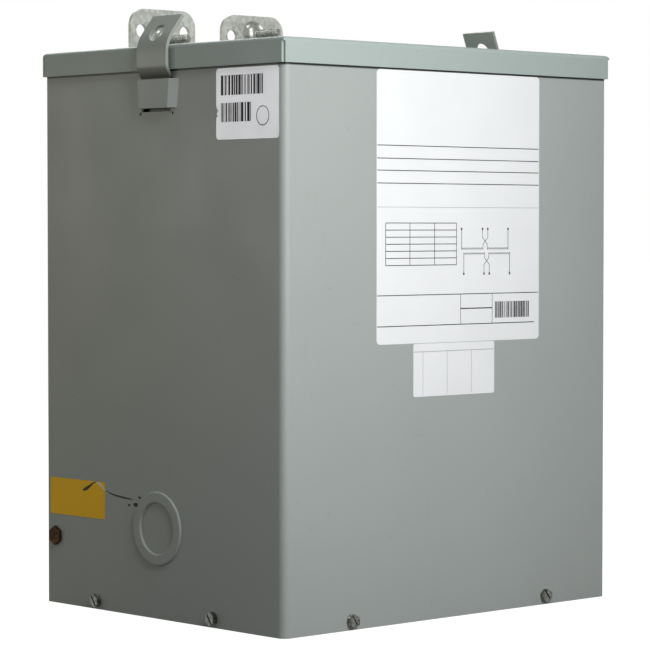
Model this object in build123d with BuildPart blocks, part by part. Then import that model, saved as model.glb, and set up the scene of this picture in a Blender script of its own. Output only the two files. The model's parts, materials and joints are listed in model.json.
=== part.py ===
from build123d import *
import math
import os

os.makedirs("parts", exist_ok=True)

# Dry-type potted distribution transformer in a sheet-steel wall enclosure.
# Frame: X along the front wall, front wall towards -Y, Z up,
# origin on the floor under the middle of the enclosure's footprint.

# Enclosure
body_width = 309.4
body_depth = 250.0
overall_height = 388.0
sheet = 1.9
inside_bend_left = 3.6
inside_bend_right = 0.3
wall_clearance = 0.3

# Lid
lid_flange_height = 16.6
lid_side_clearance = 0.2
lid_bend_radius = 3.0
lid_seam_gap = 0.5
lid_corner_join = 0.15

# Back panel and bottom cover
back_flange_depth = 16.0
bottom_flange_height = 16.0

# Lanced bridges that hold the lifting straps
strap_width = 30.8
strap_thickness = 2.3
strap_centre_y = 1.75
bridge_fit = 0.2
bridge_shoulder = 0.75
bridge_flank_top = 5.95
bridge_flank_bottom = 5.05
bridge_flank_sheet = 1.4
bridge_taper = 1.5
bridge_bottom_drop = 42.3
bridge_top_drop = 22.9
lance_y = 3.8
lance_half_length = 15.2
lance_drop = 2.3
relief_y = 3.5
relief_drop = 1.2
relief_half_spacing = 17.0
relief_radius = 1.1

# Lifting straps
strap_leg_drop = 92.0
strap_leg_gap = 2.0
strap_lid_gap_left = 1.55
strap_lid_gap_right = 5.15
strap_lean_left = 38.0
strap_lean_right = 21.3
strap_knee_rise = 1.9
strap_top_run = 22.8
eye_radius = 6.75
eye_end_distance = 15.2

# Concentric knockouts
knockout_outer_radius = 25.2
knockout_inner_radius = 17.45
knockout_height = 61.5
knockout_y = 3.0
knockout_shift = 1.4
knockout_rim_chamfer = 0.8

# Hanger plates on the back
hanger_width = 61.1
hanger_thickness = 2.7
hanger_spacing = 87.35
hanger_centre_x = -1.2
hanger_rise = 36.7
hanger_drop = 95.0
hanger_corner = 12.5
hanger_setback = 4.5
hanger_hole_radius = 4.8
hanger_hole_spacing = 41.0
hanger_hole_drop = 16.0
hanger_slot_width = 7.0
hanger_slot_length = 21.0
hanger_slot_drop = 8.3
rail_bolt_spacing = 40.0
rail_bolt_drop = 70.0
rail_bolt_radius = 3.1
rail_bolt_across_flats = 11.1
rail_bolt_head_height = 4.0

# Collared studs in the hanger plates
stud_radius = 3.1
stud_length = 29.0
collar_radius = 9.85
collar_height = 6.4
stud_tip_chamfer = 1.0
stud_rise_left = 14.6
stud_rise_right = 23.1

# Ground bolt
ground_y = 116.0
ground_height = 47.8
ground_radius = 3.95
ground_across_flats = 11.8
ground_head_height = 2.0
ground_shank = 14.0
hole_clearance = 0.3

# Cover screws
screw_height = 6.1
screw_across_flats = 7.9
screw_head_height = 3.6
screw_radius = 2.4
screw_length = 9.0
screw_washer_radius = 4.75
screw_washer_thickness = 0.8
screw_slot_width = 1.2
screw_slot_depth = 1.3
screw_slot_angle = 35.0
side_screw_ys = (-54.5, 69.6)
front_screw_xs = (-94.5, 92.3)

# Potted core
core_bottom = 112.0
core_strap_gap = 0.3

# Lower fixing holes in the back panel
lower_hole_radius = 4.35
lower_hole_spacing = 200.0
lower_hole_height = 40.0

# Bends and small details
joggle_start = 0.8
joggle_run = 9.0
flare_start = 1.4
flare_run = 6.2
bend_line_radius = 5.0
knee_radius = 20.5
hanger_joggle_run = 9.0
hanger_lid_gap = 6.0
collar_rim = 1.2
collar_crown = 7.5
nut_height = 6.7
nut_bore_gap = 0.1

# Dependent sizes
bridge_bottom = overall_height - bridge_bottom_drop
bridge_top = overall_height - bridge_top_drop
strap_leg_bottom = overall_height - strap_leg_drop
strap_knee_height = overall_height + strap_knee_rise
rail_bolt_height = overall_height - rail_bolt_drop
half_width = body_width / 2
half_depth = body_depth / 2
inner_half_width = half_width - sheet
wall_height = overall_height - sheet
lid_overhang = lid_side_clearance + sheet
lid_corner_notch = sheet - lid_corner_join
strap_reach_left = lid_overhang + strap_thickness / 2 + strap_lid_gap_left
strap_reach_right = lid_overhang + strap_thickness / 2 + strap_lid_gap_right
hanger_front = half_depth + hanger_setback
bridge_rise = sheet + bridge_fit + strap_thickness
strap_seat_u = strap_thickness / 2
bridge_top_half = strap_width / 2 + bridge_fit + bridge_shoulder
bridge_bottom_half = bridge_top_half - bridge_taper
strap_leg_u = -sheet - strap_leg_gap - strap_thickness / 2
lance_bottom = bridge_bottom - lance_drop
hanger_bottom = overall_height - hanger_drop
joggle_high = overall_height - lid_flange_height - hanger_lid_gap
joggle_low = joggle_high - hanger_joggle_run
hanger_slot_centre = overall_height + hanger_rise - hanger_slot_drop - hanger_slot_length / 2


def save(part_builder, name):
    part_builder.part.label = name
    export_step(part_builder.part, f"parts/{name}.step")


def bridge_outline(side, half, flank):
    points = []
    for u, y in (
        (-sheet / 2, half + flank),
        (0, half + flank),
        (bridge_rise, half),
        (bridge_rise, -half),
        (0, -half - flank),
        (-sheet / 2, -half - flank),
    ):
        points.append((side * (half_width + u), strap_centre_y + y))
    return points


def bridge_cavity(side, half, flank):
    points = []
    flank_inset = bridge_flank_sheet * math.hypot(flank, bridge_rise) / bridge_rise
    for u, direction in ((-sheet, 1), (bridge_rise - sheet, 1), (bridge_rise - sheet, -1), (-sheet, -1)):
        y = half + flank * (bridge_rise - u) / bridge_rise - flank_inset
        points.append((side * (half_width + u), strap_centre_y + direction * y))
    return points


# Front and side walls, bent from one sheet
with BuildPart() as body_wrap:
    with BuildSketch():
        with BuildLine():
            FilletPolyline(
                (-half_width, half_depth),
                (-half_width, -half_depth),
                (half_width, -half_depth),
                (half_width, half_depth),
                radius=(inside_bend_left + sheet, inside_bend_right + sheet),
            )
            Line((half_width, half_depth), (inner_half_width, half_depth))
            FilletPolyline(
                (inner_half_width, half_depth),
                (inner_half_width, -half_depth + sheet),
                (-inner_half_width, -half_depth + sheet),
                (-inner_half_width, half_depth),
                radius=(inside_bend_right, inside_bend_left),
            )
            Line((-inner_half_width, half_depth), (-half_width, half_depth))
        make_face()
    extrude(amount=wall_height)

    # Raised bridges over the lifting straps
    for side in (-1, 1):
        with BuildSketch(Plane.XY.offset(bridge_bottom)):
            with BuildLine():
                Polyline(*bridge_outline(side, bridge_bottom_half, bridge_flank_bottom), close=True)
            make_face()
        with BuildSketch(Plane.XY.offset(bridge_top)):
            with BuildLine():
                Polyline(*bridge_outline(side, bridge_top_half, bridge_flank_top), close=True)
            make_face()
        loft()
        with BuildSketch(Plane.XY.offset(bridge_bottom)):
            with BuildLine():
                Polyline(*bridge_cavity(side, bridge_bottom_half, bridge_flank_bottom), close=True)
            make_face()
        with BuildSketch(Plane.XY.offset(bridge_top)):
            with BuildLine():
                Polyline(*bridge_cavity(side, bridge_top_half, bridge_flank_top), close=True)
            make_face()
        loft(mode=Mode.SUBTRACT)

    # Lanced slots under the bridges
    with BuildSketch(Plane.XY.offset(lance_bottom)):
        with Locations((0, lance_y)):
            with GridLocations(body_width - sheet, 1, 2, 1):
                Rectangle(2 * sheet, 2 * lance_half_length)
    extrude(amount=bridge_bottom - lance_bottom, mode=Mode.SUBTRACT)

    # Relief holes at the ends of each lance
    for side in (-1, 1):
        with Locations(
            Plane(
                (side * half_width, relief_y, lance_bottom - relief_drop),
                x_dir=(0, 1, 0),
                z_dir=(side, 0, 0),
            )
        ):
            with GridLocations(2 * relief_half_spacing, 1, 2, 1):
                Hole(relief_radius, depth=2 * sheet)

    # Concentric knockouts, ring pushed out and disc left in
    for side in (-1, 1):
        with BuildSketch(Plane((side * half_width, knockout_y, knockout_height), z_dir=(side, 0, 0))):
            Circle(knockout_outer_radius)
            Circle(knockout_inner_radius, mode=Mode.SUBTRACT)
        extrude(amount=knockout_shift)
        with BuildSketch(Plane((side * inner_half_width, knockout_y, knockout_height), z_dir=(side, 0, 0))):
            Circle(knockout_outer_radius)
            Circle(knockout_inner_radius, mode=Mode.SUBTRACT)
        extrude(amount=knockout_shift, mode=Mode.SUBTRACT)
    rim_edges = body_wrap.edges().filter_by(GeomType.CIRCLE).filter_by(
        lambda edge: abs(edge.center().X) > half_width + knockout_shift / 2
    )
    chamfer(rim_edges, length=knockout_rim_chamfer)

    # Holes for the cover screws and the ground bolt
    for side in (-1, 1):
        for y in side_screw_ys:
            with Locations(Plane((side * half_width, y, screw_height), z_dir=(side, 0, 0))):
                Hole(screw_radius + hole_clearance, depth=2 * sheet)
    for x in front_screw_xs:
        with Locations(Plane((x, -half_depth, screw_height), z_dir=(0, -1, 0))):
            Hole(screw_radius + hole_clearance, depth=2 * sheet)
    with Locations(Plane((-half_width, ground_y, ground_height), z_dir=(-1, 0, 0))):
        Hole(ground_radius + hole_clearance, depth=2 * sheet)
save(body_wrap, "body_wrap")

# Back panel with flanges bent forward along the side walls
back_inner_half = inner_half_width - sheet
with BuildPart() as back_panel:
    with BuildSketch():
        with BuildLine():
            Polyline(
                (-inner_half_width, half_depth - back_flange_depth),
                (-inner_half_width, half_depth),
                (inner_half_width, half_depth),
                (inner_half_width, half_depth - back_flange_depth),
                (back_inner_half, half_depth - back_flange_depth),
                (back_inner_half, half_depth - sheet),
                (-back_inner_half, half_depth - sheet),
                (-back_inner_half, half_depth - back_flange_depth),
                close=True,
            )
        make_face()
    extrude(amount=wall_height)
    with BuildSketch():
        with GridLocations(2 * inner_half_width - sheet, 1, 2, 1):
            with Locations((0, half_depth - sheet - back_flange_depth / 2)):
                Rectangle(sheet, back_flange_depth)
    extrude(amount=bottom_flange_height + wall_clearance, mode=Mode.SUBTRACT)
    with Locations(Plane((-inner_half_width, ground_y, ground_height), z_dir=(-1, 0, 0))):
        Hole(ground_radius + hole_clearance, depth=2 * sheet)
    with Locations(Plane((0, half_depth, lower_hole_height), x_dir=(1, 0, 0), z_dir=(0, 1, 0))):
        with GridLocations(lower_hole_spacing, 1, 2, 1):
            Hole(lower_hole_radius, depth=2 * sheet)
    for side in (-1, 1):
        plate_x = hanger_centre_x + side * hanger_spacing / 2
        with Locations(Plane((plate_x, half_depth, rail_bolt_height), x_dir=(1, 0, 0), z_dir=(0, 1, 0))):
            with GridLocations(1, rail_bolt_spacing, 1, 2):
                Hole(rail_bolt_radius + hole_clearance, depth=2 * sheet)
save(back_panel, "back_panel")

# Lid, a tray with notched front corners and seamed rear corners
lid_width = body_width + 2 * lid_overhang
lid_depth = body_depth + 2 * lid_overhang
with BuildPart() as lid:
    with BuildSketch(Plane.XY.offset(overall_height - lid_flange_height)):
        Rectangle(lid_width, lid_depth)
    extrude(amount=lid_flange_height)
    fillet(lid.faces().sort_by(Axis.Z)[-1].edges(), radius=lid_bend_radius)
    with BuildSketch(Plane.XY.offset(overall_height - lid_flange_height)):
        Rectangle(lid_width - 2 * sheet, lid_depth - 2 * sheet)
    extrude(amount=lid_flange_height - sheet, mode=Mode.SUBTRACT)
    with BuildSketch(Plane.XY.offset(overall_height - lid_flange_height)):
        with Locations((-lid_width / 2, -lid_depth / 2), (lid_width / 2, -lid_depth / 2)):
            Rectangle(2 * lid_corner_notch, 2 * lid_corner_notch)
        with Locations((0, (lid_depth - 2 * sheet - lid_seam_gap) / 2)):
            with GridLocations(lid_width - sheet, 1, 2, 1):
                Rectangle(2 * sheet, lid_seam_gap)
    extrude(amount=lid_flange_height - lid_bend_radius, mode=Mode.SUBTRACT)
save(lid, "lid")

# Bottom cover, a tray with flanges up inside the walls
cover_width = body_width - 2 * sheet - 2 * wall_clearance
cover_front = -half_depth + sheet + wall_clearance
cover_back = half_depth - sheet - wall_clearance
cover_depth = cover_back - cover_front
cover_centre_y = (cover_back + cover_front) / 2
with BuildPart() as bottom_cover:
    with BuildSketch():
        with Locations((0, cover_centre_y)):
            Rectangle(cover_width, cover_depth)
    extrude(amount=bottom_flange_height)
    for corner, corner_radius in ((0, inside_bend_left), (-1, inside_bend_right)):
        front_corners = bottom_cover.edges().filter_by(Axis.Z).group_by(Axis.Y)[0].sort_by(Axis.X)
        fillet(front_corners[corner], radius=corner_radius)
    with BuildSketch(Plane.XY.offset(sheet)):
        with Locations((0, cover_centre_y)):
            Rectangle(cover_width - 2 * sheet, cover_depth - 2 * sheet)
    extrude(amount=bottom_flange_height, mode=Mode.SUBTRACT)
    for side in (-1, 1):
        for y in side_screw_ys:
            with Locations(Plane((side * cover_width / 2, y, screw_height), z_dir=(side, 0, 0))):
                Hole(screw_radius + hole_clearance, depth=2 * sheet)
    for x in front_screw_xs:
        with Locations(Plane((x, cover_front, screw_height), z_dir=(0, -1, 0))):
            Hole(screw_radius + hole_clearance, depth=2 * sheet)
save(bottom_cover, "bottom_cover")

# Lifting straps, bent flat bar from a leg behind the wall to an eye over the lid
for side, reach, lean_angle, name in (
    (-1, strap_reach_left, strap_lean_left, "lifting_strap_left"),
    (1, strap_reach_right, strap_lean_right, "lifting_strap_right"),
):
    lean = Vector(0, 1).rotate(Axis.Z, lean_angle)
    knee = Vector(reach, strap_knee_height)
    eye = knee + lean * (strap_top_run - eye_end_distance)
    strap_plane = Plane((side * half_width, strap_centre_y, 0), x_dir=(side, 0, 0), z_dir=(0, -side, 0))
    with BuildPart() as strap:
        with BuildSketch(strap_plane):
            with BuildLine() as strap_path:
                FilletPolyline(
                    (strap_leg_u, strap_leg_bottom),
                    (strap_leg_u, bridge_bottom + joggle_start),
                    (strap_seat_u, bridge_bottom + joggle_start + joggle_run),
                    (strap_seat_u, bridge_top + flare_start),
                    (reach, bridge_top + flare_start + flare_run),
                    (knee.X, knee.Y),
                    ((knee + lean * strap_top_run).X, (knee + lean * strap_top_run).Y),
                    radius=4 * (bend_line_radius,) + (knee_radius,),
                )
            trace(line_width=strap_thickness)
        extrude(amount=strap_width / 2, both=True)
        eye_plane = Plane(
            (side * (half_width + eye.X), strap_centre_y, eye.Y), z_dir=(side * lean.Y, 0, -lean.X)
        )
        with Locations(eye_plane):
            Hole(eye_radius, depth=4 * strap_thickness)
    save(strap, name)

# Hanger plates, joggled back behind the lid's rear flange
hanger_top = overall_height + hanger_rise
plate_back = half_depth + hanger_setback + hanger_thickness
for side, name, stud_rise in (
    (-1, "hanger_plate_left", stud_rise_left),
    (1, "hanger_plate_right", stud_rise_right),
):
    stud_z = overall_height + stud_rise
    plate_x = hanger_centre_x + side * hanger_spacing / 2
    bolt_seat = Plane(
        (plate_x, half_depth + hanger_thickness, rail_bolt_height), x_dir=(1, 0, 0), z_dir=(0, 1, 0)
    )
    with BuildPart() as hanger_plate:
        with BuildSketch(Plane((plate_x, 0, 0), x_dir=(0, 1, 0), z_dir=(1, 0, 0))):
            with BuildLine():
                Polyline(
                    (half_depth, hanger_bottom),
                    (half_depth, joggle_low),
                    (hanger_front, joggle_high),
                    (hanger_front, hanger_top),
                    (plate_back, hanger_top),
                    (plate_back, joggle_high),
                    (half_depth + hanger_thickness, joggle_low),
                    (half_depth + hanger_thickness, hanger_bottom),
                    close=True,
                )
            make_face()
        extrude(amount=hanger_width / 2, both=True)
        fillet(
            hanger_plate.edges().filter_by(Axis.Y).group_by(Axis.Z)[-1],
            radius=hanger_corner,
        )
        with Locations(
            Plane((plate_x, plate_back, hanger_top - hanger_hole_drop), x_dir=(1, 0, 0), z_dir=(0, 1, 0))
        ):
            with GridLocations(hanger_hole_spacing, 1, 2, 1):
                Hole(hanger_hole_radius, depth=2 * hanger_thickness)
        with BuildSketch(
            Plane((plate_x, plate_back, hanger_slot_centre), x_dir=(1, 0, 0), z_dir=(0, 1, 0))
        ):
            SlotOverall(hanger_slot_length, hanger_slot_width, rotation=90)
        extrude(amount=-2 * hanger_thickness, mode=Mode.SUBTRACT)
        with Locations(bolt_seat):
            with GridLocations(1, rail_bolt_spacing, 1, 2):
                Hole(rail_bolt_radius + hole_clearance, depth=2 * hanger_thickness)
    save(hanger_plate, name)

    # Collared stud, its neck in the plate's slot
    with BuildPart() as hanger_stud:
        with BuildSketch(Plane((plate_x, 0, stud_z), x_dir=(0, -1, 0), z_dir=(1, 0, 0))):
            with BuildLine():
                Polyline(
                    (-hanger_front, stud_radius),
                    (-hanger_front, collar_radius),
                    (-hanger_front + collar_rim, collar_radius),
                )
                RadiusArc(
                    (-hanger_front + collar_rim, collar_radius),
                    (-hanger_front + collar_height, stud_radius),
                    collar_crown,
                )
                Polyline(
                    (-hanger_front + collar_height, stud_radius),
                    (-hanger_front + stud_length - stud_tip_chamfer, stud_radius),
                    (-hanger_front + stud_length, stud_radius - stud_tip_chamfer),
                    (-hanger_front + stud_length, 0),
                    (-plate_back, 0),
                    (-plate_back, stud_radius),
                    (-hanger_front, stud_radius),
                )
            make_face()
        revolve(axis=Axis((plate_x, 0, stud_z), (0, 1, 0)))
    save(hanger_stud, name.replace("plate", "stud"))

    # Two hex bolts that hold the plate to the back panel
    with BuildPart() as hanger_bolts:
        with BuildSketch(bolt_seat):
            with GridLocations(1, rail_bolt_spacing, 1, 2):
                RegularPolygon(rail_bolt_across_flats / 2, 6, major_radius=False)
        extrude(amount=rail_bolt_head_height)
        with BuildSketch(bolt_seat):
            with GridLocations(1, rail_bolt_spacing, 1, 2):
                Circle(rail_bolt_radius)
        extrude(amount=-(hanger_thickness + sheet))
    save(hanger_bolts, name.replace("plate", "bolts"))

# Brass ground bolt through the left wall, with its nut inside
ground_plane = Plane((-half_width, ground_y, ground_height), x_dir=(0, 1, 0), z_dir=(-1, 0, 0))
with BuildPart() as ground_bolt:
    with BuildSketch(ground_plane):
        RegularPolygon(ground_across_flats / 2, 6, major_radius=False, rotation=30)
    extrude(amount=ground_head_height)
    with BuildSketch(ground_plane):
        Circle(ground_radius)
    extrude(amount=-ground_shank)
save(ground_bolt, "ground_bolt")

with BuildPart() as ground_nut:
    with BuildSketch(ground_plane.offset(-2 * sheet)):
        RegularPolygon(ground_across_flats / 2, 6, major_radius=False, rotation=30)
        Circle(ground_radius + nut_bore_gap, mode=Mode.SUBTRACT)
    extrude(amount=-nut_height)
save(ground_nut, "ground_nut")

# Slotted hex washer-head screws that hold the bottom cover
left_seats = [Plane((-half_width, y, screw_height), z_dir=(-1, 0, 0)) for y in side_screw_ys]
right_seats = [Plane((half_width, y, screw_height), z_dir=(1, 0, 0)) for y in side_screw_ys]
front_seats = [Plane((x, -half_depth, screw_height), z_dir=(0, -1, 0)) for x in front_screw_xs]
for name, seats in (
    ("cover_screws_left", left_seats),
    ("cover_screws_right", right_seats),
    ("cover_screws_front", front_seats),
):
    with BuildPart() as cover_screws:
        for seat in seats:
            with BuildSketch(seat):
                Circle(screw_washer_radius)
            extrude(amount=screw_washer_thickness)
            with BuildSketch(seat):
                RegularPolygon(screw_across_flats / 2, 6, major_radius=False)
            extrude(amount=screw_head_height)
            with BuildSketch(seat):
                Circle(screw_radius)
            extrude(amount=-screw_length)
            with BuildSketch(seat.offset(screw_head_height)):
                Rectangle(2 * screw_across_flats, screw_slot_width, rotation=screw_slot_angle)
            extrude(amount=-screw_slot_depth, mode=Mode.SUBTRACT)
    save(cover_screws, name)

# Core and coils, potted in one block between the front wall and the back panel
core_half_width = inner_half_width - strap_leg_gap - strap_thickness - core_strap_gap
with BuildPart() as potted_core:
    with BuildSketch(Plane.XY.offset(core_bottom)):
        Rectangle(2 * core_half_width, body_depth - 2 * sheet)
    extrude(amount=wall_height - core_bottom)
save(potted_core, "potted_core")
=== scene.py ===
import json
import math
import random

import bmesh
import bpy
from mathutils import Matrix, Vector


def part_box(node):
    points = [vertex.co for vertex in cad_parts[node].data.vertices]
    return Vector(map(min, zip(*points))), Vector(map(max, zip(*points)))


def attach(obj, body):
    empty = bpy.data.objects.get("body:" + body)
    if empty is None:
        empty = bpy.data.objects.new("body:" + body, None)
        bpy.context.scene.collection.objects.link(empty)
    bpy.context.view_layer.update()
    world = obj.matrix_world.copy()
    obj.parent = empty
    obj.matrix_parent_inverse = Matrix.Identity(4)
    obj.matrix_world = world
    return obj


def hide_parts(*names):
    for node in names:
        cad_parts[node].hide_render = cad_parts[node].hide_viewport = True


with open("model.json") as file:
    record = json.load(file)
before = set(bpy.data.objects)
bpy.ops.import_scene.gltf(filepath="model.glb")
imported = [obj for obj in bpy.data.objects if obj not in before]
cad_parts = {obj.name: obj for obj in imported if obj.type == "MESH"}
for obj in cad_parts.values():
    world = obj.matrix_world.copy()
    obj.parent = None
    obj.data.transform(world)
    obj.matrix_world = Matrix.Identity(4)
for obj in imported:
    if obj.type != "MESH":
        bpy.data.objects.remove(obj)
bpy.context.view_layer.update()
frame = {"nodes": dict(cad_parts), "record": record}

MM = 0.001
scene = bpy.context.scene
nodes = frame["nodes"]
rng = random.Random(7)


# Materials


def srgb(r, g, b):
    """Linear colour from 0 to 255 display values."""
    out = []
    for c in (r, g, b):
        c /= 255
        out.append(c / 12.92 if c <= 0.04045 else ((c + 0.055) / 1.055) ** 2.4)
    return (*out, 1.0)


def tinted(colour, k):
    """The colour, k times as bright."""
    return (colour[0] * k, colour[1] * k, colour[2] * k, 1.0)


CLEAN = (1.0, 1.0, 1.0, 1.0)
GRIME = (0.86, 0.86, 0.84, 1.0)
WORN = (0.94, 0.94, 0.935, 1.0)
DULL_ZINC = (0.9, 0.885, 0.85, 1.0)

# The mix node's sockets for colours
MIX_FACTOR = 0
MIX_A = 6
MIX_B = 7
MIX_RESULT = 2


class Mat:
    """A principled material with a few short calls for its node tree."""

    def __init__(self, name):
        self.mat = bpy.data.materials.new(name)
        self.mat.use_nodes = True
        self.tree = self.mat.node_tree
        self.bsdf = self.tree.nodes["Principled BSDF"]
        self.coord = self.node("ShaderNodeTexCoord").outputs["Object"]

    def node(self, kind, **inputs):
        n = self.tree.nodes.new(kind)
        for key, value in inputs.items():
            n.inputs[key.replace("_", " ")].default_value = value
        return n

    def link(self, a, b):
        self.tree.links.new(a, b)

    def put(self, name, value):
        """Gives one of the shader's inputs a constant or another node's output."""
        socket = self.bsdf.inputs[name]
        if hasattr(value, "links"):
            self.link(value, socket)
        else:
            socket.default_value = value

    def noise(self, scale, detail=3.0, rough=0.5, stretch=None):
        source = self.coord
        if stretch:
            mapping = self.node("ShaderNodeMapping", Scale=stretch)
            self.link(self.coord, mapping.inputs["Vector"])
            source = mapping.outputs["Vector"]
        n = self.node("ShaderNodeTexNoise", Scale=scale, Detail=detail, Roughness=rough)
        self.link(source, n.inputs["Vector"])
        return n.outputs["Fac"]

    def cells(self, scale):
        n = self.node("ShaderNodeTexVoronoi", Scale=scale)
        self.link(self.coord, n.inputs["Vector"])
        return n

    def height(self):
        """The point's height, in metres."""
        axes = self.node("ShaderNodeSeparateXYZ")
        self.link(self.coord, axes.inputs[0])
        return axes.outputs["Z"]

    def ramp(self, fac, low, high):
        """From one (position, colour) to another."""
        n = self.node("ShaderNodeValToRGB")
        for element, (position, colour) in zip(n.color_ramp.elements, (low, high)):
            element.position = position
            element.color = colour
        self.link(fac, n.inputs["Fac"])
        return n.outputs["Color"]

    def spread(self, fac, low, high, start=0.3, end=0.7):
        """low to high as fac goes from start to end, and level beyond them."""
        n = self.node("ShaderNodeMapRange", From_Min=start, From_Max=end, To_Min=low, To_Max=high)
        self.link(fac, n.inputs["Value"])
        return n.outputs["Result"]

    def times(self, a, b):
        n = self.node("ShaderNodeMix")
        n.data_type = "RGBA"
        n.blend_type = "MULTIPLY"
        n.inputs[MIX_FACTOR].default_value = 1.0
        self.link(a, n.inputs[MIX_A])
        self.link(b, n.inputs[MIX_B])
        return n.outputs[MIX_RESULT]

    def bump(self, height, distance, strength=1.0):
        """A bump on top of those already there, its distance in metres."""
        n = self.node("ShaderNodeBump", Strength=strength, Distance=distance)
        self.link(height, n.inputs["Height"])
        for earlier in self.bsdf.inputs["Normal"].links:
            self.link(earlier.from_socket, n.inputs["Normal"])
        self.put("Normal", n.outputs["Normal"])


def paint(name, colour, rough=0.42, shades=()):
    """Sprayed paint; each shade darkens it by height as painted shade, given as (low z, high z, level at low,
    level at high) in millimetres.
    """
    m = Mat(name)
    cloud = m.ramp(m.noise(scale=5.0), (0.3, tinted(colour, 0.965)), (0.7, tinted(colour, 1.03)))
    grime = m.ramp(m.noise(scale=210.0, detail=4.0, rough=0.6), (0.66, CLEAN), (0.76, GRIME))
    streaks = m.noise(scale=34.0, detail=5.0, rough=0.65, stretch=(1.0, 1.0, 0.3))
    worn = m.ramp(streaks, (0.64, CLEAN), (0.78, WORN))
    result = m.times(m.times(cloud, grime), worn)
    # Painted shade: the colour darkened by height for each shade
    for low, high, at_low, at_high in shades:
        result = m.times(result, m.spread(m.height(), at_low, at_high, low * MM, high * MM))
    m.put("Base Color", result)
    m.put("Specular IOR Level", 0.4)
    m.put("Roughness", m.spread(m.noise(scale=18.0, detail=4.0), rough - 0.05, rough + 0.08))
    m.bump(m.noise(scale=1300.0, detail=2.0), distance=0.00004)
    m.bump(m.noise(scale=9.0, detail=2.0), distance=0.0009, strength=0.5)
    return m.mat


def galvanised(name, colour):
    """Zinc with spangles and dull patches."""
    m = Mat(name)
    cells = m.cells(scale=320.0)
    spangle = m.ramp(cells.outputs["Color"], (0.15, tinted(colour, 0.82)), (0.85, tinted(colour, 1.14)))
    dull = m.ramp(m.noise(scale=60.0, detail=5.0, rough=0.7), (0.4, CLEAN), (0.68, DULL_ZINC))
    m.put("Base Color", m.times(spangle, dull))
    m.put("Metallic", 0.45)
    m.put("Roughness", m.spread(m.noise(scale=140.0, detail=4.0), 0.40, 0.62))
    m.bump(cells.outputs["Distance"], distance=0.00008, strength=0.5)
    m.bump(m.noise(scale=900.0), distance=0.00003)
    return m.mat


def metal(name, colour, rough, tarnish, amount, metallic=1.0):
    """Bright metal with spots of tarnish; amount is the width of the change between them."""
    m = Mat(name)
    spots = m.noise(scale=420.0, detail=5.0, rough=0.65)
    m.put("Base Color", m.ramp(spots, (0.5 - amount / 2, tarnish), (0.5 + amount / 2, colour)))
    m.put("Metallic", metallic)
    m.put("Roughness", m.spread(spots, rough + 0.16, rough))
    m.bump(m.noise(scale=2600.0, detail=2.0), distance=0.00002)
    return m.mat


def vinyl(name, colour, rough=0.38, shine=0.5):
    """Label stock, or the ink and scuffs on it."""
    m = Mat(name)
    m.put("Base Color", m.ramp(m.noise(scale=30.0, detail=4.0), (0.3, tinted(colour, 0.965)), (0.72, colour)))
    m.put("Specular IOR Level", shine)
    m.put("Roughness", m.spread(m.noise(scale=80.0), rough - 0.04, rough + 0.08))
    m.bump(m.noise(scale=45.0, detail=2.0), distance=0.00006, strength=0.6)
    return m.mat


def compound(name, colour):
    """Gritty casting compound."""
    m = Mat(name)
    grit = m.noise(scale=300.0, detail=4.0)
    m.put("Base Color", m.ramp(grit, (0.35, tinted(colour, 0.8)), (0.7, tinted(colour, 1.3))))
    m.put("Roughness", 0.8)
    m.bump(m.noise(scale=500.0), distance=0.0002, strength=0.6)
    return m.mat


# Painted shade by height: the shadow on the body's edge under the lid, the straps' shaded underside below
# their flare, their legs in the dark slots
SEAM_SHADE = (369.7, 370.4, 1.0, 0.06)
FLARE_SHADE = (366.5, 374.5, 0.1, 1.0)
SLOT_SHADE = (345.0, 350.0, 0.1, 1.0)

MATS = {
    # enclosure_paint carries a painted shadow under the lid; strap_paint carries painted shade below the
    # flare and in the slots
    "enclosure_paint": paint("enclosure_paint", srgb(162, 168, 165), shades=[SEAM_SHADE]),
    "lid_paint": paint("lid_paint", srgb(162, 174, 170)),
    "strap_paint": paint("strap_paint", srgb(162, 168, 162), rough=0.38, shades=[FLARE_SHADE, SLOT_SHADE]),
    "galvanised_steel": galvanised("galvanised_steel", srgb(222, 225, 218)),
    "zinc_steel": metal("zinc_steel", srgb(222, 223, 216), 0.2, srgb(150, 150, 142), 0.3, metallic=0.8),
    "brass": metal("brass", srgb(88, 64, 34), 0.42, srgb(34, 26, 17), 0.3),
    "potting": compound("potting", srgb(52, 52, 54)),
}
# A darker copy of the zinc for the cover screws: painted shade for the dark surroundings they mirror
SHADED_SCREW_ZINC = metal("shaded_screw_zinc", srgb(196, 196, 190), 0.16, srgb(62, 62, 58), 0.4)
for entry in frame["record"]["subparts"]:
    screws = entry["node"].startswith("cover_screws")
    for slot in nodes[entry["node"]].material_slots:
        slot.material = SHADED_SCREW_ZINC if screws else MATS[entry["material_slot"]]

WHITE_VINYL = vinyl("white_vinyl", srgb(234, 236, 237))
GLOSS_VINYL = vinyl("gloss_vinyl", srgb(250, 250, 255), rough=0.15, shine=1.0)
YELLOW_VINYL = vinyl("yellow_vinyl", srgb(255, 200, 4), rough=0.42, shine=0.3)
INK = vinyl("ink", srgb(34, 34, 36), rough=0.5, shine=0.2)
PALE_INK = vinyl("pale_ink", srgb(150, 152, 156), rough=0.5)
SCUFF = vinyl("scuff", srgb(70, 72, 66), rough=0.6, shine=0.1)


# Meshes


SHARP_ANGLE = math.radians(35)


def finish_mesh(name, bm, material, smooth=True):
    """Makes the mesh a piece of the object, which has one body and no joint."""
    bmesh.ops.recalc_face_normals(bm, faces=bm.faces)
    mesh = bpy.data.meshes.new(name)
    bm.to_mesh(mesh)
    bm.free()
    piece = bpy.data.objects.new(name, mesh)
    scene.collection.objects.link(piece)
    mesh.materials.append(material)
    for poly in mesh.polygons:
        poly.use_smooth = smooth
    if smooth:
        piece.modifiers.new("normals", "WEIGHTED_NORMAL")
        mesh.set_sharp_from_angle(angle=SHARP_ANGLE)
    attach(piece, "root")
    return piece


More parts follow.
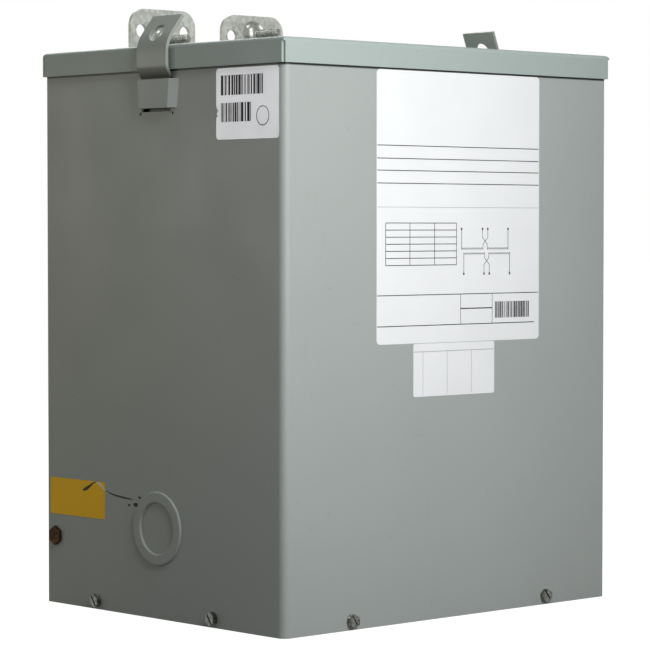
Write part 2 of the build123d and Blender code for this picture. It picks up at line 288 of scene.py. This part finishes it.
def wall_faces():
    """The left wall's X and the front wall's Y, read at the bottom edge, where nothing stands proud."""
    body = nodes["body_wrap"]
    points = [body.matrix_world @ v.co for v in body.data.vertices]
    lowest = min(p.z for p in points)
    edge = [p for p in points if p.z < lowest + MM]
    return min(p.x for p in edge), min(p.y for p in edge)


WALL_X, WALL_Y = wall_faces()

# Added to every coordinate along the front wall, in millimetres
FRONT_SHIFT = -0.7


class Wall:
    """A flat wall: a point in millimetres along it and up it, lifted off it."""

    def __init__(self, side):
        self.side = side

    def point(self, a, z, lift):
        if self.side == "left":
            return Vector((WALL_X - lift * MM, a * MM, z * MM))
        return Vector(((a + FRONT_SHIFT) * MM, WALL_Y - lift * MM, z * MM))


LEFT, FRONT = Wall("left"), Wall("front")

# Underside and top of each kind of flat piece, in millimetres off the wall
LABEL_LAYER = (0.02, 0.12)
PRINT_LAYER = (0.12, 0.14)
MARK_ON_LABEL = (0.13, 0.15)
MARK_ON_WALL = (0.02, 0.04)
SPOT_ON_WALL = (0.0, 0.02)


def slab(bm, wall, outline, layer):
    """A thin closed plate over an outline of (along, up) points."""
    low, high = layer
    bottom = [bm.verts.new(wall.point(a, z, low)) for a, z in outline]
    top = [bm.verts.new(wall.point(a, z, high)) for a, z in outline]
    bm.faces.new(top)
    bm.faces.new(bottom[::-1])
    for i in range(len(outline)):
        j = (i + 1) % len(outline)
        bm.faces.new((bottom[i], bottom[j], top[j], top[i]))


def rounded(a0, z0, a1, z1, r, steps=6):
    """A rectangle with round corners."""
    points = []
    corners = ((a1 - r, z1 - r, 0), (a0 + r, z1 - r, 90), (a0 + r, z0 + r, 180), (a1 - r, z0 + r, 270))
    for ca, cz, start in corners:
        for i in range(steps + 1):
            t = math.radians(start + 90 * i / steps)
            points.append((ca + r * math.cos(t), cz + r * math.sin(t)))
    return points


def bar(bm, wall, a0, z0, a1, z1):
    slab(bm, wall, [(a0, z0), (a1, z0), (a1, z1), (a0, z1)], PRINT_LAYER)


def rule(bm, wall, a0, a1, z, width):
    bar(bm, wall, a0, z - width / 2, a1, z + width / 2)


def post(bm, wall, a, z0, z1, width):
    bar(bm, wall, a - width / 2, z0, a + width / 2, z1)


def stroke(bm, wall, points, width):
    """A thin line of constant width, one plate per run."""
    for (a, z), (b, y) in zip(points, points[1:]):
        along = Vector((b - a, y - z)).normalized() * width / 2
        across = Vector((-along.y, along.x))
        start = Vector((a, z)) - along
        end = Vector((b, y)) + along
        corners = (start + across, start - across, end - across, end + across)
        slab(bm, wall, [tuple(c) for c in corners], PRINT_LAYER)


def bars(bm, wall, a0, a1, z0, z1, step):
    """Upright bars of mixed width that carry no code."""
    a = a0
    while a < a1 - step:
        width = step * rng.choice((1, 1, 2, 2, 3, 4))
        bar(bm, wall, a, z0, min(a + width, a1), z1)
        a += width + step * rng.choice((1, 1, 1, 2))


def label(name, wall, edges, r, material, torn=()):
    """A label over (start, bottom, end, top), with bites of (depth, height) torn from its end."""
    bm = bmesh.new()
    outline = rounded(*edges, r) + [(edges[2] - depth, z) for depth, z in torn]
    slab(bm, wall, outline, LABEL_LAYER)
    finish_mesh(name, bm, material)


def printed(name, bm, material):
    """A flat piece on a label or on the wall."""
    finish_mesh(name, bm, material, smooth=False)


# Front labels, in millimetres along the wall and up it


FORM_EDGES = (-71.6, 187.6, 85.8, 370.2)
FORM_LEFT, FORM_RIGHT = -71.0, 85.2
FORM_RULES = (320.0, 311.4, 303.4, 294.9, 220.1)
FORM_FOLD = 279.0
TABLE_BOTTOM, TABLE_TOP = 240.1, 268.4
TABLE_COLUMNS = (-63.3, -40.7, -17.4, 3.7)
TABLE_ROWS = 6
FORM_FOOT_END, FORM_FOOT = 81.0, 199.5
FORM_FOOT_WIDTH = 0.6
FORM_BARS = (41.6, 75.6, 203.2, 214.4)
FORM_BAR_STEP = 0.42
FORM_BOXES = ((7.8, 199.6, 38.8, 210.0), (7.8, 210.4, 38.8, 220.1))
SMALL_EDGES = (-37.3, 151.5, 40.9, 187.3)
SMALL_COLUMNS = (-28.3, -5.1, 18.4)
SMALL_BOTTOM, SMALL_TOP = 152.5, 181.8
SMALL_LEFT, SMALL_RIGHT = -36.9, 40.5
RULE_WIDTH = 0.56
GRID_WIDTH = 0.52
PEN_WIDTH = 0.4
LEAD_WIDTH = 0.45
FINE_WIDTH = 0.3
DOT_HALF_WIDTH, DOT_HALF_HEIGHT, DOT_ROUND = 0.7, 0.9, 0.6

# The diagram: height of the windings and of the leads' ends, upper row and lower row
UPPER, UPPER_END = 250.4, 264.4
LOWER, LOWER_END = 248.2, 233.8
WINDINGS = ((8.6, 29.4, UPPER, 1), (33.9, 54.4, UPPER, 1), (10.8, 30.8, LOWER, -1), (35.6, 56.0, LOWER, -1))
OUTER_LEADS = (
    (8.6, UPPER, UPPER_END), (54.4, UPPER, UPPER_END),
    (10.8, LOWER, LOWER_END), (56.0, LOWER, LOWER_END))
CROSSINGS = ((31.7, UPPER, UPPER_END, 1), (33.2, LOWER, LOWER_END, -1))
CROSSING_PATH = ((-2.2, 0.0), (-2.0, 3.6), (2.6, 8.2))
WINDING_TEETH = 9
TOOTH_HEIGHT = 1.2


def table(bm):
    for column in TABLE_COLUMNS:
        post(bm, FRONT, column, TABLE_BOTTOM, TABLE_TOP, GRID_WIDTH)
    row_height = (TABLE_TOP - TABLE_BOTTOM) / TABLE_ROWS
    for row in range(TABLE_ROWS + 1):
        rule(bm, FRONT, TABLE_COLUMNS[0], TABLE_COLUMNS[-1], TABLE_BOTTOM + row * row_height, GRID_WIDTH)


def winding(bm, x0, x1, z, up):
    """A zigzag line whose teeth point up or down."""
    steps = 2 * WINDING_TEETH
    zigzag = [(x0 + (x1 - x0) * i / steps, z + TOOTH_HEIGHT * up * (i % 2)) for i in range(steps + 1)]
    stroke(bm, FRONT, zigzag, PEN_WIDTH)


def lead(bm, points, width):
    """A line that ends in a dot."""
    stroke(bm, FRONT, points, width)
    x, z = points[-1]
    low, high = (x - DOT_HALF_WIDTH, z - DOT_HALF_HEIGHT), (x + DOT_HALF_WIDTH, z + DOT_HALF_HEIGHT)
    slab(bm, FRONT, rounded(*low, *high, DOT_ROUND), PRINT_LAYER)


def diagram(bm):
    """Two rows of windings with their leads, the middle pair of each row crossing."""
    for x0, x1, z, up in WINDINGS:
        winding(bm, x0, x1, z, up)
    for x, z0, z1 in OUTER_LEADS:
        lead(bm, [(x, z0), (x, z1)], LEAD_WIDTH)
    for x, z0, z1, up in CROSSINGS:
        for side in (-1, 1):
            path = [(x + across * side, z0 + rise * up) for across, rise in CROSSING_PATH]
            lead(bm, path + [(path[-1][0], z1)], PEN_WIDTH)


def form_label():
    """The large label, without text: ruled lines, a table, two boxes, the diagram and bars."""
    label("form_label", FRONT, FORM_EDGES, 3.0, WHITE_VINYL)
    ink = bmesh.new()
    for z in FORM_RULES:
        rule(ink, FRONT, FORM_LEFT, FORM_RIGHT, z, RULE_WIDTH)
    rule(ink, FRONT, FORM_LEFT, FORM_FOOT_END, FORM_FOOT, FORM_FOOT_WIDTH)
    table(ink)
    for a0, z0, a1, z1 in FORM_BOXES:
        stroke(ink, FRONT, [(a0, z0), (a1, z0), (a1, z1), (a0, z1), (a0, z0)], PEN_WIDTH)
    diagram(ink)
    bars(ink, FRONT, *FORM_BARS, FORM_BAR_STEP)
    printed("form_label_print", ink, INK)
    fold = bmesh.new()
    rule(fold, FRONT, FORM_LEFT, FORM_RIGHT, FORM_FOLD, FINE_WIDTH)
    printed("form_label_fold", fold, PALE_INK)


def small_label():
    label("small_label", FRONT, SMALL_EDGES, 1.5, WHITE_VINYL)
    grid = bmesh.new()
    for column in SMALL_COLUMNS:
        post(grid, FRONT, column, SMALL_BOTTOM, SMALL_TOP, FINE_WIDTH)
    rule(grid, FRONT, SMALL_LEFT, SMALL_RIGHT, SMALL_TOP, PEN_WIDTH)
    printed("small_label_print", grid, PALE_INK)


form_label()
small_label()


# Left labels and marks, in millimetres along the wall and up it


BAR_EDGES = (-120.7, 323.0, -58.6, 369.7)
TORN = ((0.0, 337.3), (1.7, 338.6), (0.5, 340.3), (2.3, 342.0), (0.7, 343.6), (0.0, 345.2))
CODE_ROWS = ((-105.0, -63.4, 352.0, 365.0), (-93.3, -63.3, 334.5, 347.0))
CODE_STEP = 0.62
OVAL = (-104.85, 337.8)
OVAL_RADII = (6.0, 6.2)
OVAL_RUNS = 36
OVAL_WIDTH = 0.55
YELLOW_EDGES = (60.2, 63.2, 122.4, 89.0)


def bar_label():
    """The white label, without text: two rows of bars and an oval."""
    label("bar_label", LEFT, BAR_EDGES, 2.6, GLOSS_VINYL, TORN)
    codes = bmesh.new()
    for row in CODE_ROWS:
        bars(codes, LEFT, *row, CODE_STEP)
    oval = []
    for i in range(OVAL_RUNS + 1):
        t = 2 * math.pi * i / OVAL_RUNS
        oval.append((OVAL[0] + OVAL_RADII[0] * math.cos(t), OVAL[1] + OVAL_RADII[1] * math.sin(t)))
    stroke(codes, LEFT, oval, OVAL_WIDTH)
    printed("bar_label_print", codes, INK)


# Each mark's points are (along, up, width)
LABEL_MARK = ((85.0, 82.0, 1.2), (81.0, 83.4, 2.6), (77.0, 85.6, 1.7), (72.8, 88.0, 0.8), (70.0, 88.6, 0.5))
# A pale streak on the yellow label's top corner: a painted highlight
PALE_EDGE_HIGHLIGHT = ((70.5, 88.7, 0.5), (66.0, 87.2, 1.3), (62.6, 85.2, 1.2), (60.4, 83.4, 0.6))
WALL_MARK = (
    (59.0, 83.2, 0.5), (55.0, 82.0, 0.9), (50.0, 80.9, 1.1),
    (40.0, 79.9, 1.3), (33.0, 79.4, 0.9), (30.0, 79.2, 0.5))
SPOTS = ((26.6, 75.8, 2.6), (33.8, 75.2, 1.4), (22.4, 81.2, 1.4))
SPOT_POINTS = 18


def streak(name, points, material, layer):
    """A rubbed line whose width changes along it."""
    bm = bmesh.new()
    left, right = [], []
    for i, (a, z, width) in enumerate(points):
        before = points[max(i - 1, 0)]
        after = points[min(i + 1, len(points) - 1)]
        d = Vector((after[0] - before[0], after[1] - before[1])).normalized()
        n = Vector((-d.y, d.x)) * width / 2
        left.append((a + n.x, z + n.y))
        right.append((a - n.x, z - n.y))
    slab(bm, LEFT, left + right[::-1], layer)
    printed(name, bm, material)


def spot(name, a, z, r):
    """A flat, uneven blob."""
    bm = bmesh.new()
    blob = []
    for k in range(SPOT_POINTS):
        turn = 2 * math.pi * k / SPOT_POINTS
        blob.append((
            a + r * rng.uniform(0.85, 1.15) * math.cos(turn),
            z + r * rng.uniform(0.5, 0.7) * math.sin(turn)))
    slab(bm, LEFT, blob, SPOT_ON_WALL)
    printed(name, bm, SCUFF)


bar_label()
label("yellow_label", LEFT, YELLOW_EDGES, 1.8, YELLOW_VINYL)
streak("rub_mark_label", LABEL_MARK, SCUFF, MARK_ON_LABEL)
# Painted highlight: a pale streak along the yellow label's top corner
streak("painted_edge_highlight", PALE_EDGE_HIGHLIGHT, WHITE_VINYL, MARK_ON_LABEL)
streak("rub_mark_wall", WALL_MARK, SCUFF, MARK_ON_WALL)
for number, (along, up, radius) in enumerate(SPOTS):
    spot(f"rub_spot_{number}", along, up, radius)


# Studs with threads, in millimetres


PLATE = 2.7
COLLAR = 9.85
COLLAR_EDGE = 0.4
COLLAR_RIM = 1.2
COLLAR_HEIGHT = 6.4
CROWN = 7.5
CROWN_STEPS = 10
CROWN_END = 0.35
CREST = 3.1
ROOT = 2.65
PITCH = 1.1
THREAD_FLAT = 0.12
PLAIN_END = 1.0
TIP_CHAMFER = 0.6
STEPS_PER_TURN = 8
AROUND = 32
MERGE_DISTANCE = 1e-7


def crown_radius(out):
    """Radius of the collar's domed face at a distance out from its rim."""
    dx, dy = COLLAR_HEIGHT - COLLAR_RIM, CREST - COLLAR
    reach = math.hypot(dx, dy)
    rise = math.sqrt(CROWN ** 2 - reach ** 2 / 4)
    cx, cy = dx / 2 + dy / reach * rise, COLLAR + dy / 2 - dx / reach * rise
    return cy + math.sqrt(max(CROWN ** 2 - (out - cx) ** 2, 0.0))


def collar_profile(back, face):
    """The (y, radius) pairs of the shank inside the plate and of the domed collar."""
    profile = [(back, 0.0), (back, CREST), (face, CREST)]
    profile += [(face, COLLAR - COLLAR_EDGE), (face - COLLAR_EDGE, COLLAR)]
    for i in range(CROWN_STEPS + 1):
        out = (COLLAR_HEIGHT - COLLAR_RIM - CROWN_END) * i / CROWN_STEPS
        profile.append((face - COLLAR_RIM - out, max(crown_radius(out), CREST)))
    profile.append((face - COLLAR_HEIGHT, CREST))
    return profile


def thread_ring(start, i, rows):
    """The (y, radius) pairs round the shank at one step of a thread that fades in and out."""
    y = start - i * PITCH / STEPS_PER_TURN
    run = min(1.0, i / STEPS_PER_TURN, (rows - i) / STEPS_PER_TURN)
    ring = []
    for k in range(AROUND):
        phase = ((start - y) / PITCH - k / AROUND) % 1.0
        ridge = 1 - abs(2 * phase - 1)
        depth = min(1.0, max(0.0, (ridge - THREAD_FLAT) / (1 - 2 * THREAD_FLAT)))
        ring.append((y, ROOT + (CREST - ROOT) * depth * run))
    return ring


def stud(name, node):
    """A domed collar and a threaded shank, round the axis of the CAD stud."""
    low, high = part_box(node)
    cx, cz = (low.x + high.x) / 2, (low.z + high.z) / 2
    back, tip = high.y / MM, low.y / MM
    face = back - PLATE
    start = face - COLLAR_HEIGHT
    rows = int((start - tip - PLAIN_END) / PITCH * STEPS_PER_TURN)
    rings = [[pair] * AROUND for pair in collar_profile(back, face)]
    rings += [thread_ring(start, i, rows) for i in range(1, rows + 1)]
    rings += [[(tip + TIP_CHAMFER, ROOT)] * AROUND, [(tip, ROOT - TIP_CHAMFER)] * AROUND]
    bm = bmesh.new()
    made = []
    for ring in rings:
        row = []
        for k, (y, r) in enumerate(ring):
            turn = 2 * math.pi * k / AROUND
            row.append(bm.verts.new((cx + r * MM * math.cos(turn), y * MM, cz + r * MM * math.sin(turn))))
        made.append(row)
    for a, b in zip(made, made[1:]):
        for k in range(AROUND):
            j = (k + 1) % AROUND
            bm.faces.new((a[k], a[j], b[j], b[k]))
    bm.faces.new(made[0][::-1])
    bm.faces.new(made[-1])
    bmesh.ops.remove_doubles(bm, verts=bm.verts, dist=MERGE_DISTANCE)
    piece = finish_mesh(name, bm, MATS["zinc_steel"])
    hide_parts(node)


stud("threaded_stud_left", "hanger_stud_left")
stud("threaded_stud_right", "hanger_stud_right")


# Floor and backdrop


FLOOR_HALF = 14.0
FLOOR_DROP = 0.0004
FLOOR_GREY = (0.22, 0.22, 0.22, 1)
FLOOR_IN_REFLECTIONS = 0.3
SKY = (0.93, 0.96, 1.0, 1)
SKY_STRENGTH = 0.05
SKY_IN_REFLECTIONS = 0.34
WHITE = (1, 1, 1, 1)


def seen_white(tree, in_reflections):
    """1 for the camera, in_reflections for reflections and 0 for all other light."""
    path = tree.nodes.new("ShaderNodeLightPath")
    share = tree.nodes.new("ShaderNodeMath")
    share.operation = "MULTIPLY"
    share.inputs[1].default_value = in_reflections
    most = tree.nodes.new("ShaderNodeMath")
    most.operation = "MAXIMUM"
    tree.links.new(path.outputs["Is Glossy Ray"], share.inputs[0])
    tree.links.new(path.outputs["Is Camera Ray"], most.inputs[0])
    tree.links.new(share.outputs[0], most.inputs[1])
    return most.outputs[0]


def pale_floor():
    """A floor that the camera sees as plain white, shadow included."""
    material = bpy.data.materials.new("pale_floor")
    material.use_nodes = True
    tree = material.node_tree
    tree.nodes.clear()
    out = tree.nodes.new("ShaderNodeOutputMaterial")
    diffuse = tree.nodes.new("ShaderNodeBsdfDiffuse")
    diffuse.inputs["Color"].default_value = FLOOR_GREY
    glow = tree.nodes.new("ShaderNodeEmission")
    glow.inputs["Color"].default_value = WHITE
    add = tree.nodes.new("ShaderNodeAddShader")
    tree.links.new(seen_white(tree, FLOOR_IN_REFLECTIONS), glow.inputs["Strength"])
    tree.links.new(diffuse.outputs[0], add.inputs[0])
    tree.links.new(glow.outputs[0], add.inputs[1])
    tree.links.new(add.outputs[0], out.inputs["Surface"])

    bm = bmesh.new()
    corners = ((-1, -1), (1, -1), (1, 1), (-1, 1))
    bm.faces.new([bm.verts.new((x * FLOOR_HALF, y * FLOOR_HALF, -FLOOR_DROP)) for x, y in corners])
    mesh = bpy.data.meshes.new("floor")
    bm.to_mesh(mesh)
    bm.free()
    mesh.materials.append(material)
    floor = bpy.data.objects.new("floor", mesh)
    scene.collection.objects.link(floor)


def light_from_all_round(tree, colour, strength):
    node = tree.nodes.new("ShaderNodeBackground")
    node.inputs["Color"].default_value = colour
    node.inputs["Strength"].default_value = strength
    return node


def backdrop():
    """A weak sky that the camera sees white."""
    world = bpy.data.worlds.new("studio")
    scene.world = world
    world.use_nodes = True
    tree = world.node_tree
    tree.nodes.clear()
    out = tree.nodes.new("ShaderNodeOutputWorld")
    ambient = light_from_all_round(tree, SKY, SKY_STRENGTH)
    white = light_from_all_round(tree, WHITE, 1.0)
    mix = tree.nodes.new("ShaderNodeMixShader")
    tree.links.new(seen_white(tree, SKY_IN_REFLECTIONS), mix.inputs["Fac"])
    tree.links.new(ambient.outputs[0], mix.inputs[1])
    tree.links.new(white.outputs[0], mix.inputs[2])
    tree.links.new(mix.outputs[0], out.inputs["Surface"])


pale_floor()
backdrop()


# Lamps and the camera


def lamp(name, place, target, size, power, colour=(1, 1, 1)):
    """A square lamp; sizes and places in metres, power in watts."""
    data = bpy.data.lights.new(name, "AREA")
    data.shape = "SQUARE"
    data.size = size
    data.energy = power
    data.color = colour
    obj = bpy.data.objects.new(name, data)
    obj.location = place
    obj.rotation_euler = (Vector(target) - Vector(place)).to_track_quat("-Z", "Y").to_euler()
    scene.collection.objects.link(obj)


def view(place, yaw, pitch, lens):
    """The camera, its angles in degrees from straight along Y and its lens in millimetres."""
    yaw, pitch = math.radians(yaw), math.radians(pitch)
    forward = Vector((math.sin(yaw) * math.cos(pitch), math.cos(yaw) * math.cos(pitch), math.sin(pitch)))
    data = bpy.data.cameras.new("camera")
    data.sensor_width = 36.0
    data.lens = lens
    data.clip_start = 0.05
    data.clip_end = 100.0
    camera = bpy.data.objects.new("camera", data)
    camera.location = place
    camera.rotation_euler = forward.to_track_quat("-Z", "Y").to_euler()
    scene.collection.objects.link(camera)
    scene.camera = camera


lamp("key", (-0.145, -0.551, 0.366), (-0.05, -0.125, 0.25), 0.4, 2.05)
lamp("graze", (-0.36, -0.98, 1.0), (-0.154, -0.05, 0.2), 0.3, 5.0)
lamp("warm_side", (-0.5, 0.42, 0.3), (-0.154, 0.12, 0.2), 0.4, 0.24, (1.0, 0.87, 0.35))
lamp("rear_side", (-1.14, 1.04, 0.41), (-0.154, -0.05, 0.3), 0.34, 1.17, (0.85, 0.88, 1.0))
lamp("top_side", (-0.42, 0.0, 1.25), (-0.15, 0.0, 0.4), 0.25, 0.98, (0.9, 1.0, 0.94))
lamp("back_fill", (0.7, 1.3, 1.2), (0.0, 0.0, 0.2), 1.2, 14.0)
lamp("right_fill", (1.5, -0.1, 0.8), (0.154, 0.0, 0.2), 1.0, 7.0)

# Solved from the box's corners in the photograph
view((-1.3448, -1.4506, 0.2664), yaw=42.767, pitch=-2.042, lens=153.75)
scene.view_settings.view_transform = "Standard"
